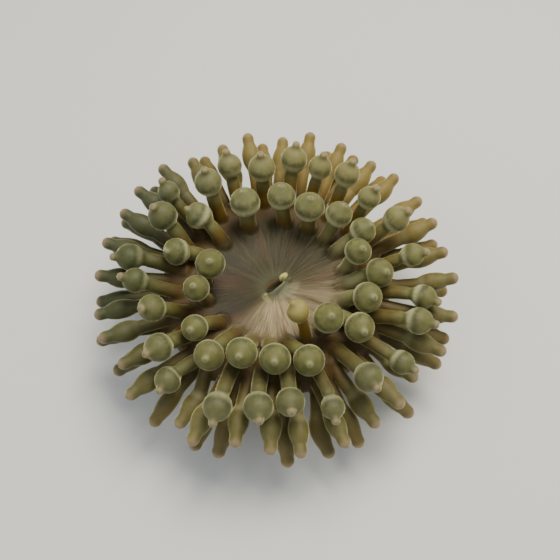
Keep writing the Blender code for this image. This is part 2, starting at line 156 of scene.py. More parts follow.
SECOND = Cycle(
    name="second",
    root_radius=0.0530,
    root_drop=0.001,
    azimuths=rows(7.5, 22.5, 37.5),
    leans=(50, 35, 37, 37, 45, 33, 47, 25, 46, 35, 72, 58, 35, 54, 62, 76, 58, 48, 76, 60, 78, 72, 84, 60),
    sways=(-6, -10, 6, -4, -14, 4, -6, -6, -10, 20, 14, -14, 12, 6, 10, 4, 10, 6, -6, -8, 0, 0, -12, -14),
    girths=(0.94, 0.86, 1.02, 0.88, 1, 1.06, 0.9, 1, 0.84, 1.05, 1, 0.95, 0.96, 0.96, 0.98, 1.02, 0.98, 1.02,
            0.85, 1, 0.85, 1.02, 0.88, 0.85),
    upturns=0.3,
    root_lean=0.8,
    tilt=11.0,
    length=0.0415,
    stalk_radius=0.0042,
    bulb_radius=0.0075,
    bulb_half=0.0080,
    tip_radius=0.0026,
    tip_length=0.0036,
    blend=0.0020,
    wander=0.8,
    unrest=3.0,
    sides=20,
    outerness=0.35,
)
THIRD = Cycle(
    name="third",
    root_radius=0.058,
    root_drop=0.004,
    azimuths=rows(5.625, 16.875, 28.125, 39.375),
    leans=84.0,
    upturns=0.1,
    root_lean=1.0,
    tilt=10.0,
    length=0.0425,
    stalk_radius=0.0039,
    bulb_radius=0.0057,
    bulb_half=0.0085,
    tip_radius=0.0035,
    tip_length=0.0065,
    blend=0.0026,
    wander=0.2,
    unrest=8.0,
    sides=18,
    outerness=0.7,
)
OUTER = Cycle(
    name="outer",
    root_radius=0.0625,
    root_drop=0.010,
    azimuths=rows(5.5, 12.0, 33.5),
    leans=(92, 90, 88, 84, 84, 84, 84, 84, 88, 92, 94, 96, *(100,) * 12),
    drifts=(-0.005, 0.0, 0.0) * 7 + (0.0, 0.0, 0.0),
    root_lean=0.97,
    tilt=8.0,
    length=0.0400,
    stalk_radius=0.0038,
    bulb_radius=0.0050,
    bulb_half=0.0095,
    tip_radius=0.0037,
    tip_length=0.0055,
    blend=0.0026,
    wander=0.5,
    unrest=8.0,
    sides=16,
    outerness=1.0,
)


def heading(azimuth: float | Array, lean: float | Array) -> Array:
    """Point unit directions, one row each: turned from +X and leaning from the vertical, in radians."""
    return np.stack((np.sin(lean) * np.cos(azimuth), np.sin(lean) * np.sin(azimuth), np.cos(lean)), axis=-1)


def smooth_maximum(first: Array, second: Array, blend: float) -> Array:
    """Take the larger of two arrays, rounded over the width of a blend where they cross."""
    share = np.clip(0.5 + 0.5 * (first - second) / blend, 0.0, 1.0)
    return second + (first - second) * share + blend * share * (1.0 - share)


def smooth_step(value: Array, low: float, high: float) -> Array:
    """Rise smoothly from 0 at low to 1 at high."""
    share = np.clip((value - low) / (high - low), 0.0, 1.0)
    return share * share * (3.0 - 2.0 * share)


def beside_slit(x: Measure, y: Measure) -> tuple[Measure, Measure]:
    """Turn a place into its distances along and across the mouth's slit."""
    slant = radians(SLIT_AZIMUTH)
    return x * cos(slant) + y * sin(slant), y * cos(slant) - x * sin(slant)


@dataclass
class Tentacle:
    """One tentacle: its cycle, its place in it, and how it bends; angles in radians."""

    cycle: Cycle
    number: int
    azimuth: float
    lean: float
    sway: float
    length: float
    girth: float
    upturn: float
    shift: Array
    light_azimuth: float = radians(270.0)
    light_lean: float = radians(25.0)
    upturn_start: float = 0.30
    upturn_end: float = 0.75
    root_swell: float = 0.15
    root_swell_reach: float = 0.0035
    taper: float = 0.1
    bend_steps: int = 10

    @property
    def root(self) -> Array:
        """Return the point where the middle line leaves the body."""
        reach, drop = self.cycle.root_radius, self.cycle.root_drop
        return np.array((reach * cos(self.azimuth), reach * sin(self.azimuth), RIM_HEIGHT - drop))

    @property
    def is_stray(self) -> bool:
        """Tell whether this is the plain amber tentacle that bends inward over the disc."""
        return self.cycle is INNER and self.number == STRAY

    @property
    def bulb_middle(self) -> float:
        """Return the distance along the tentacle to the middle of its bulb."""
        return self.length - self.cycle.tip_length - self.half

    @property
    def half(self) -> float:
        """Return half the length of its bulb."""
        return self.cycle.bulb_half * self.girth

    def line(self, steps: int) -> Array:
        """Walk the middle line: out from the root, then up toward the light.

        Args:
            steps: How many equal steps from root to tip.

        Returns:
            The points of the line, root first.
        """
        share = (np.arange(steps) + 0.5) / steps
        lean = self.lean * (self.cycle.root_lean + (1.0 - self.cycle.root_lean) * 2.0 * share)
        course = heading(self.azimuth + self.sway * share, lean)
        light = heading(self.light_azimuth, self.light_lean)
        turned = (self.upturn * smooth_step(share, self.upturn_start, self.upturn_end))[:, None]
        course = course * (1.0 - turned) + light * turned
        course *= self.length / steps / np.linalg.norm(course, axis=1)[:, None]
        points = np.vstack((self.root, self.root + np.cumsum(course, axis=0)))
        return points + self.ease(np.linspace(0.0, 1.0, steps + 1))[:, None] * self.shift

    def ease(self, shares: float | Array) -> Array:
        """Give how far points at some shares of the length follow a shift of the bulb."""
        return smooth_step(shares * self.length, 0.0, self.bulb_middle)

    def radii(self, distances: Array) -> Array:
        """Give the radius along the tentacle: a swollen root, a stalk, a round bulb and a finger tip.

        Args:
            distances: Distances from the root.

        Returns:
            The radius at each.
        """
        cycle = self.cycle
        along = np.clip(distances, 0.0, self.length)
        offset = (along - self.bulb_middle) / self.half
        bulb = cycle.bulb_radius * self.girth * np.sqrt(np.clip(1.0 - offset ** 2, 0.0, 1.0))
        swell = 1.0 + self.root_swell * np.exp(-along / self.root_swell_reach)
        swell = swell - self.taper * along / self.length
        dome = np.clip((along - self.length + cycle.tip_radius) / cycle.tip_radius, 0.0, 1.0)
        tip = cycle.tip_radius * np.sqrt(1.0 - dome ** 2)
        rest = np.where(along < self.bulb_middle, cycle.stalk_radius * self.girth * swell, tip)
        return smooth_maximum(bulb, rest, cycle.blend)


@dataclass
class Crown:
    """All hundred tentacles, grown cycle by cycle and bent apart as the solids are."""

    cycles: tuple[Cycle, ...] = (INNER, SECOND, THIRD, OUTER)
    seed: int = 7
    length_spread: float = 0.07
    girth_spread: float = 0.05
    sway_spread: float = 8.0
    clearance: float = 0.0012
    neighbourhood: float = 0.075
    start_girth: float = 0.3
    swell_rounds: int = 60
    settle_rounds: int = 200
    tolerance: float = 0.00005
    least_ease: float = 0.5
    longest_step: float = 0.0006
    rooted_steps: int = 2
    base_length: float = 0.0060
    tentacles: list[Tentacle] = field(default_factory=list)

    def grow(self) -> None:
        """Make every tentacle with its own seeded size and bend, before it is settled."""
        chance = np.random.default_rng(self.seed)
        for cycle in self.cycles:
            lies = (cycle.azimuths, cycle.leans, cycle.sways, cycle.girths, cycle.upturns, cycle.drifts)
            poses = zip(*(np.broadcast_to(lie, len(cycle.azimuths)).tolist() for lie in lies))
            for number, (azimuth, lean, sway, girth, upturn, drift) in enumerate(poses, start=1):
                turn, bend, side, reach, fat = chance.uniform(-1.0, 1.0, 5)
                free = 0.0 if cycle.unrest == 0.0 else 1.0
                tilt = cycle.tilt * sin(radians(azimuth))
                self.tentacles.append(
                    Tentacle(
                        cycle=cycle,
                        number=number,
                        azimuth=radians(azimuth + turn * cycle.wander),
                        lean=radians(lean + bend * cycle.unrest - tilt),
                        sway=radians(sway + free * side * self.sway_spread),
                        length=cycle.length * (1.0 + free * reach * self.length_spread),
                        girth=girth * (1.0 + free * fat * self.girth_spread),
                        upturn=upturn,
                        shift=drift * heading(radians(azimuth + 90.0), radians(90.0)),
                    )
                )

    def settle(self) -> None:
        """Shift the bulbs apart, round by round, until no tentacle presses into another or into the rim.

        They start thin and swell to their full girth, so that none is trapped on the wrong side. Each point
        moves by the mean of the shoves from its contacts.
        """
        crown = self.tentacles
        steps = crown[0].bend_steps
        shares = np.linspace(0.0, 1.0, steps + 1)[1:]
        radii = np.array([tentacle.radii(shares * tentacle.length) for tentacle in crown])
        roots = np.array([tentacle.root for tentacle in crown])
        near = np.linalg.norm(roots[:, None] - roots[None], axis=2) < self.neighbourhood
        first, second = np.nonzero(np.triu(near, 1))
        reach = radii[first][:, :, None] + radii[second][:, None] + self.clearance
        reach[:, : self.rooted_steps, : self.rooted_steps] = 0.0
        inner = np.array([tentacle.cycle is INNER for tentacle in crown])[:, None]
        free = inner & (shares * INNER.length > 2.0 * self.base_length)[None]
        for turn in range(self.settle_rounds):
            swelling = min(1.0, self.start_girth + (1.0 - self.start_girth) * turn / self.swell_rounds)
            lines = np.array([tentacle.line(steps)[1:] for tentacle in crown])
            away = lines[first][:, :, None] - lines[second][:, None]
            distance = np.linalg.norm(away, axis=3)
            depth = np.clip(swelling * reach - distance, 0.0, None)
            shove = away * (0.5 * depth / distance)[..., None]
            push = np.zeros_like(lines)
            for owners, shoves, other in ((first, shove, 2), (second, -shove, 1)):
                touches = np.zeros(push.shape[:2])
                np.add.at(touches, owners, (depth > 0.0).sum(axis=other))
                total = np.zeros_like(push)
                np.add.at(total, owners, shoves.sum(axis=other))
                push += total / np.maximum(touches, 1.0)[..., None]
            sunk = RIM_HEIGHT + self.clearance + radii - lines[:, :, 2]
            push[:, :, 2] += np.where(free, np.clip(sunk, 0.0, None), 0.0)
            if swelling == 1.0 and np.abs(push).max() < self.tolerance:
                return
            for tentacle, shoves in zip(crown, push):
                self.yield_to(tentacle, shoves, shares)

    def yield_to(self, tentacle: Tentacle, shove: Array, shares: Array) -> None:
        """Shift one tentacle's bulb by the strongest of the shoves on its middle line.

        Args:
            tentacle: The tentacle to shift.
            shove: The push on each of its points.
            shares: How far along the tentacle each point lies.
        """
        strongest = int(np.argmax(np.abs(shove).sum(axis=1)))
        step = shove[strongest] / max(float(tentacle.ease(shares[strongest])), self.least_ease)
        step = step * min(1.0, self.longest_step / max(np.linalg.norm(step), self.longest_step))
        tentacle.shift = tentacle.shift + step


@dataclass(frozen=True)
class BakeSheet:
    """How the bake's atlas is shared: a grid of strips for the tentacles, and three patches for the body."""

    columns: int = 12
    rows: int = 9
    crown_height: float = 0.60
    border: float = 0.06
    disc_patch: tuple[float, float, float] = (0.20, 0.80, 0.19)
    foot_patch: tuple[float, float, float] = (0.90, 0.90, 0.09)
    wall_patch: tuple[float, float, float, float] = (0.41, 0.62, 0.57, 0.16)

    def strip(self, index: int, turn: Array, rise: Array) -> tuple[Array, Array]:
        """Lay a tentacle's corners in its own cell.

        Args:
            index: Which tentacle of the crown.
            turn: How far round each corner is, 0 to 1.
            rise: How far along it is, 0 to 1.

        Returns:
            The two coordinates on the atlas.
        """
        width = 1.0 / self.columns
        height = self.crown_height / self.rows
        inside = 1.0 - 2.0 * self.border
        across = (index % self.columns + self.border + inside * turn) * width
        up = (index // self.columns + self.border + inside * rise) * height
        return across, up


def read(items: bpy.types.bpy_prop_collection, field_name: str, width: int, kind: type = float) -> Array:
    """Read one field of all the items of a mesh.

    Args:
        items: Its vertices, loops or faces.
        field_name: The field.
        width: How many numbers the field holds.
        kind: What the numbers are.

    Returns:
        The numbers, one row for each item.
    """
    values = np.empty(len(items) * width, dtype=kind)
    items.foreach_get(field_name, values)
    return values.reshape(-1, width)


def corner_points(mesh: Mesh) -> tuple[Array, Array]:
    """Read where each face corner lies and where its face's middle is.

    Args:
        mesh: The mesh to read.

    Returns:
        The corners' points and their faces' middles.
    """
    owners = read(mesh.loops, "vertex_index", 1, np.int64)[:, 0]
    counts = read(mesh.polygons, "loop_total", 1, np.int64)[:, 0]
    return read(mesh.vertices, "co", 3)[owners], np.repeat(read(mesh.polygons, "center", 3), counts, axis=0)


def corner_turns(corners: Array, middles: Array) -> Array:
    """Measure how far round Z each corner lies, unwrapped over its own face.

    Args:
        corners: The corners' points.
        middles: Their faces' middles.

    Returns:
        The turn of each corner; a face's corners never differ by more than half a turn.
    """
    middle = np.arctan2(middles[:, 1], middles[:, 0]) % FULL_TURN
    corner = np.arctan2(corners[:, 1], corners[:, 0])
    beside = (corner - middle + pi) % FULL_TURN - pi
    on_axis = np.hypot(corners[:, 0], corners[:, 1]) < MERGE
    return np.clip((middle + np.where(on_axis, 0.0, beside)) / FULL_TURN, 0.0, 1.0)


def set_map(mesh: Mesh, skin_map: SkinMap, across: Array, up: Array) -> None:
    """Write one UV map.

    Args:
        mesh: The mesh that gets it.
        skin_map: Which map.
        across: Its first coordinate at each corner.
        up: Its second.
    """
    layer = mesh.uv_layers.get(skin_map.value) or mesh.uv_layers.new(name=skin_map.value)
    flat = np.stack((np.broadcast_to(across, up.shape), up), axis=1).ravel()
    layer.uv.foreach_set("vector", flat.astype(np.float32))


def move_points(mesh: Mesh, points: Array) -> None:
    """Put every vertex of a mesh where an array says."""
    mesh.vertices.foreach_set("co", points.astype(np.float32).ravel())
    mesh.update()


def mesh_of(shell: BMesh, name: str) -> Mesh:
    """Turn a shell into a mesh and free it.

    Args:
        shell: The shell.
        name: The mesh's name.

    Returns:
        The new mesh.
    """
    mesh = bpy.data.meshes.new(name)
    shell.to_mesh(mesh)
    shell.free()
    return mesh


def stand(name: str, data: bpy.types.ID) -> bpy.types.Object:
    """Put some data into the scene.

    Args:
        name: The new object's name.
        data: Its mesh, light or camera.

    Returns:
        The object.
    """
    item = bpy.data.objects.new(name, data)
    bpy.context.scene.collection.objects.link(item)
    return item


def turn_profile(profile: Iterable[tuple[float, float]], steps: int, flesh: Flesh) -> Mesh:
    """Spin a profile that starts and ends on the axis into a closed solid about Z.

    Args:
        profile: Its points as radius and height.
        steps: How many steps make the full turn.
        flesh: Which piece of flesh the faces belong to.

    Returns:
        The mesh, with its faces outward.
    """
    shell = bmesh.new()
    chain = [shell.verts.new((radius, 0.0, height)) for radius, height in profile]
    edges = [shell.edges.new(pair) for pair in zip(chain, chain[1:])]
    bmesh.ops.spin(
        shell,
        geom=[*chain, *edges],
        cent=(0.0, 0.0, 0.0),
        axis=(0.0, 0.0, 1.0),
        angle=FULL_TURN,
        steps=steps,
        use_merge=True,
    )
    bmesh.ops.remove_doubles(shell, verts=shell.verts[:], dist=MERGE)
    bmesh.ops.recalc_face_normals(shell, faces=shell.faces[:])
    for face in shell.faces:
        face.material_index = flesh.value
    return mesh_of(shell, flesh.name.lower())


@dataclass
class TentacleForm:
    """How a tentacle's skin is modelled: its rings, its flared root and its slight unevenness."""

    root_depth: float = 0.0040
    flare: float = 0.0011
    flare_reach: float = 0.0015
    root_rings: int = 9
    root_length: float = 0.0070
    stalk_step: float = 0.0022
    bulb_rings: int = 13
    tip_rings: int = 4
    least_step: float = 0.00022
    bend_steps: int = 40
    waver: float = 0.022
    waver_length: float = 0.013
    waver_fade: float = 0.006
    oval_twist: float = 90.0
    bulb_shift: float = 0.00035
    root_cap: float = 0.0004
    neck_gap: float = 0.0008
    dome_angles: tuple[float, ...] = (15.0, 32.0, 48.0, 63.0, 76.0)
    sheet: BakeSheet = BakeSheet()

    def stations(self, tentacle: Tentacle) -> Array:
        """Choose where the rings of a tentacle lie along it.

        Args:
            tentacle: The tentacle.

        Returns:
            Distances from its root, the first inside the body and the last just below the tip.
        """
        half = tentacle.half
        neck = tentacle.bulb_middle - half
        crest = tentacle.bulb_middle + half
        stalk_rings = max(2, round((neck - self.root_length) / self.stalk_step))
        quarter = np.linspace(-0.5 * pi, 0.5 * pi, self.bulb_rings)
        dome = tentacle.length - tentacle.cycle.tip_radius
        rings = np.concatenate(
            (
                (-self.root_depth, -0.5 * self.root_depth),
                np.linspace(0.0, self.root_length, self.root_rings),
                np.linspace(self.root_length, neck - self.neck_gap, stalk_rings + 1)[1:],
                tentacle.bulb_middle + half * np.sin(quarter),
                np.linspace(crest, max(crest, dome), self.tip_rings)[1:],
                dome + tentacle.cycle.tip_radius * np.sin(np.radians(self.dome_angles)),
            )
        )
        rings = np.sort(rings)
        kept = np.concatenate(([True], np.diff(rings) > self.least_step))
        return rings[kept]

    def build(self, tentacle: Tentacle, index: int, chance: np.random.Generator) -> Mesh:
        """Turn a tentacle, note its maps and bend it to its middle line.

        Args:
            tentacle: The tentacle.
            index: Its place in the crown.
            chance: The seeded source of its unevenness.

        Returns:
            Its closed mesh.
        """
        rings = self.stations(tentacle)
        radii = tentacle.radii(rings) + self.flare * np.exp(-np.clip(rings, 0.0, None) / self.flare_reach)
        profile = [(0.0, rings[0] - self.root_cap), *zip(radii, rings), (0.0, tentacle.length)]
        mesh = turn_profile(profile, tentacle.cycle.sides, Flesh.TENTACLE)
        self.note_maps(mesh, tentacle, index, float(chance.uniform(0.0, 1.0)))
        points = self.unsettle(read(mesh.vertices, "co", 3), tentacle, chance.uniform(0.0, FULL_TURN, 4))
        move_points(mesh, self.bend(points, tentacle))
        return mesh

    def note_maps(self, mesh: Mesh, tentacle: Tentacle, index: int, shade: float) -> None:
        """Write the maps of a straight tentacle.

        Args:
            mesh: Its mesh, still straight along Z.
            tentacle: The tentacle.
            index: Its place in the crown.
            shade: Its own seeded number, 0 to 1.
        """
        corners, middles = corner_points(mesh)
        turn = corner_turns(corners, middles)
        along = corners[:, 2]
        offset = (along - tentacle.bulb_middle) / tentacle.half
        set_map(mesh, SkinMap.LENGTH, CENTIMETRES * along, turn)
        set_map(mesh, SkinMap.FORM, offset, MILLIMETRES * (tentacle.length - along))
        trait = -1.0 if tentacle.is_stray else tentacle.cycle.outerness
        set_map(mesh, SkinMap.TRAIT, np.full(len(along), shade), np.full(len(along), trait))
        rise = np.clip((along + self.root_depth) / (tentacle.length + self.root_depth), 0.0, 1.0)
        set_map(mesh, SkinMap.BAKE, *self.sheet.strip(index, turn, rise))

    def unsettle(self, points: Array, tentacle: Tentacle, phases: Array) -> Array:
        """Make a straight tentacle slightly uneven, less so at its root and its tip.

        Args:
            points: Its vertices.
            tentacle: The tentacle.
            phases: Four seeded angles.

        Returns:
            The moved vertices.
        """
        along = points[:, 2]
        angle = np.arctan2(points[:, 1], points[:, 0])
        fade = smooth_step(along, 0.0, self.waver_fade)
        fade *= 1.0 - smooth_step(along, tentacle.bulb_middle, tentacle.length)
        oval = 0.5 * np.sin(2.0 * angle + phases[0] + self.oval_twist * along)
        beads = 0.5 * np.sin(FULL_TURN * along / self.waver_length + phases[1])
        swollen = 1.0 + self.waver * fade * (oval + beads)
        shift = self.bulb_shift * np.exp(-(((along - tentacle.bulb_middle) / tentacle.half) ** 2))
        moved = points.copy()
        moved[:, 0] = points[:, 0] * swollen + shift * cos(phases[2])
        moved[:, 1] = points[:, 1] * swollen + shift * sin(phases[2])
        return moved

    def bend(self, points: Array, tentacle: Tentacle) -> Array:
        """Carry a straight tentacle's points to its bent middle line, without twisting it.

        Args:
            points: Its vertices, straight along Z.
            tentacle: The tentacle.

        Returns:
            The bent vertices.
        """
        line = tentacle.line(self.bend_steps)
        marks = np.linspace(0.0, tentacle.length, len(line))
        course = np.gradient(line, axis=0)
        course /= np.linalg.norm(course, axis=1)[:, None]
        sides = [np.cross(course[0], heading(tentacle.azimuth, tentacle.lean + pi / 2.0))]
        for ahead in course[1:]:
            sides.append(sides[-1] - ahead * float(sides[-1] @ ahead))
        side = np.array(sides)
        side /= np.linalg.norm(side, axis=1)[:, None]
        along = np.clip(points[:, 2], 0.0, tentacle.length)
        place, right, ahead = (
            np.stack([np.interp(along, marks, rows[:, axis]) for axis in range(3)], axis=1)
            for rows in (line, side, course)
        )
        over = np.cross(ahead, right)
        below = np.clip(points[:, 2], None, 0.0)[:, None] * course[0]
        return place + right * points[:, :1] + over * points[:, 1:2] + below


@dataclass(frozen=True)
class Blot:
    """A soft oval by the mouth: its middle along and across the slit, and its reach both ways."""

    along: float
    across: float
    length: float
    width: float

    def apart(self, along: Measure, across: Measure) -> Measure:
        """Give the square of how far places lie from its middle, 1 at its edge."""
        ahead, aside = (along - self.along) / self.length, (across - self.across) / self.width
        return ahead * ahead + aside * aside


@dataclass(frozen=True)
class Fold(Blot):
    """A soft fold of the lips, which stands up by its height."""

    height: float


@dataclass
class Body:
    """The pedal disc, column, margin and oral disc, turned as one, with the mouth pressed into it."""

    edge_rise: float = 0.001
    funnel_power: float = 1.6
    mouth_radius: float = 0.0115
    slit_length: float = 0.0136
    slit_width: float = 0.0026
    throat_depth: float = 0.0085
    lip_height: float = 0.0007
    lip_reach: float = 0.0014
    slit_straight: float = 0.8
    slit_shoulder: tuple[float, float] = (-0.0004, 0.0010)
    folds: tuple[Fold, ...] = (
        Fold(0.0008, -0.0034, 0.0058, 0.0020, 0.0032),
        Fold(-0.0006, 0.0030, 0.0052, 0.0013, 0.0009),
        Fold(0.0076, 0.0013, 0.0024, 0.0016, 0.0022),
        Fold(0.0088, -0.0030, 0.0014, 0.0012, 0.0012),
        Fold(-0.0080, -0.0010, 0.0014, 0.0012, 0.0011),
        Fold(-0.0088, -0.0036, 0.0012, 0.0030, 0.0006),
        Fold(0.0040, -0.0066, 0.0044, 0.0013, 0.0010),
    )
    turn_steps: int = 224
    centre_step: float = 0.0006
    top_step: float = 0.0012
    wall_step: float = 0.0016
    before_root: float = -1.0
    before_bulb: float = -9.0
    before_tip: float = 99.0
    foot_skin: float = 0.0004
    disc_drop: float = 0.003
    disc_inset: float = 0.002
    sheet: BakeSheet = BakeSheet()

    def disc_height(self, radius: Array) -> Array:
        """Give the oral disc's height at distances from the axis: a shallow funnel, level at the rim."""
        share = np.clip(1.0 - radius / DISC_RADIUS, 0.0, 1.0)
        return RIM_HEIGHT + self.edge_rise - (MOUTH_DEPTH + self.edge_rise) * share ** self.funnel_power

    def knots(self) -> list[tuple[float, float]]:
        """List the points that the wall runs through, from the disc's edge over the margin to the floor.

        Returns:
            The points as radius and height.
        """
        return [
            (DISC_RADIUS, RIM_HEIGHT + 0.0010),
            (DISC_RADIUS + 0.0090, RIM_HEIGHT + 0.0002),
            (CROWN_RADIUS - 0.0030, RIM_HEIGHT - 0.0030),
            (CROWN_RADIUS, RIM_HEIGHT - 0.0085),
            (CROWN_RADIUS - 0.0015, RIM_HEIGHT - 0.0130),
            (DISC_RADIUS + 0.0100, RIM_HEIGHT - 0.0190),
            (DISC_RADIUS + 0.0008, RIM_HEIGHT - 0.0257),
            (WAIST_RADIUS + 0.0043, RIM_HEIGHT - 0.0323),
            (WAIST_RADIUS, 0.0142),
            (WAIST_RADIUS + 0.0030, 0.0062),
            (FOOT_RADIUS - 0.0010, 0.0038),
            (FOOT_RADIUS, 0.0018),
            (FOOT_RADIUS - 0.0008, 0.0),
        ]

    def profile(self) -> list[tuple[float, float]]:
        """Sample the whole profile, from the centre of the disc to the centre of the foot.

        Returns:
            Its points as radius and height.
        """
        inner = np.arange(0.0, self.mouth_radius, self.centre_step)
        outer = np.arange(self.mouth_radius, DISC_RADIUS - 0.5 * self.top_step, self.top_step)
        top = [(float(radius), float(self.disc_height(radius))) for radius in (*inner, *outer)]
        knots = [Vector((radius, height)) for radius, height in self.knots()]
        ends = [2.0 * knots[0] - knots[1], *knots, 2.0 * knots[-1] - knots[-2]]
        wall = []
        for before, start, end, after in zip(ends, ends[1:], ends[2:], ends[3:]):
            pieces = max(1, round((end - start).length / self.wall_step))
            for piece in range(pieces):
                share = piece / pieces
                square, cube = share ** 2, share ** 3
                place = 0.5 * (
                    2.0 * start
                    + (end - before) * share
                    + (2.0 * before - 5.0 * start + 4.0 * end - after) * square
                    + (3.0 * start - before - 3.0 * end + after) * cube
                )
                wall.append((place.x, max(0.0, place.y)))
        foot = [(FOOT_RADIUS * share, 0.0) for share in (0.98, 0.7, 0.4, 0.0)]
        return [*top, *wall, *foot]

    def build(self) -> Mesh:
        """Turn the body, note its maps and press the mouth into it.

        Returns:
            Its closed mesh.
        """
        mesh = turn_profile(self.profile(), self.turn_steps, Flesh.BODY)
        self.note_maps(mesh)
        move_points(mesh, self.press_mouth(read(mesh.vertices, "co", 3)))
        return mesh

    def note_maps(self, mesh: Mesh) -> None:
        """Write the maps of the body; its lengths lie before any root, so that it wears no tentacle colour.

        Args:
            mesh: The turned body.
        """
        corners, middles = corner_points(mesh)
        flat = np.zeros(len(corners))
        turn = corner_turns(corners, middles)
        set_map(mesh, SkinMap.LENGTH, flat + self.before_root, turn)
        set_map(mesh, SkinMap.FORM, flat + self.before_bulb, flat + self.before_tip)
        set_map(mesh, SkinMap.TRAIT, flat + 0.5, flat)
        sheet = self.sheet
        radius = np.hypot(middles[:, 0], middles[:, 1])
        on_foot = middles[:, 2] < self.foot_skin
        level = middles[:, 2] > RIM_HEIGHT - self.disc_drop
        on_disc = level | (radius < DISC_RADIUS - self.disc_inset) & ~on_foot
        on_disc &= middles[:, 2] > 0.5 * RIM_HEIGHT
        left, bottom, width, height = sheet.wall_patch
        across = left + width * turn
        up = bottom + height * corners[:, 2] / RIM_HEIGHT
        for here, (middle_x, middle_y, reach) in ((on_disc, sheet.disc_patch), (on_foot, sheet.foot_patch)):
            across = np.where(here, middle_x + reach * corners[:, 0] / CROWN_RADIUS, across)
            up = np.where(here, middle_y + reach * corners[:, 1] / CROWN_RADIUS, up)
        set_map(mesh, SkinMap.BAKE, across, up)

    def press_mouth(self, points: Array) -> Array:
        """Raise the lips and sink the slit between them.

        Args:
            points: The turned body's vertices.

        Returns:
            The moved vertices.
        """
        along, across = beside_slit(points[:, 0], points[:, 1])
        top = points[:, 2] > 0.5 * RIM_HEIGHT
        near = top & (np.hypot(points[:, 0], points[:, 1]) < 1.4 * self.mouth_radius)
        half_length, half_width = 0.5 * self.slit_length, 0.5 * self.slit_width
        gape = half_width * np.sqrt(np.clip(1.0 - (along / half_length) ** 2, 0.0, 1.0))
        beyond = np.clip(np.abs(along) - self.slit_straight * half_length, 0.0, None)
        outside = np.hypot(np.clip(np.abs(across) - gape, 0.0, None), beyond)
        inside = smooth_step(gape - np.abs(across), *self.slit_shoulder) * (np.abs(along) < half_length)
        lips = self.lip_height * np.exp(-(((outside - self.lip_reach) / self.lip_reach) ** 2))
        for fold in self.folds:
            lips = lips + fold.height * np.exp(-fold.apart(along, across))
        moved = points.copy()
        moved[:, 2] += np.where(near, lips * (1.0 - inside) - self.throat_depth * inside, 0.0)
        return moved


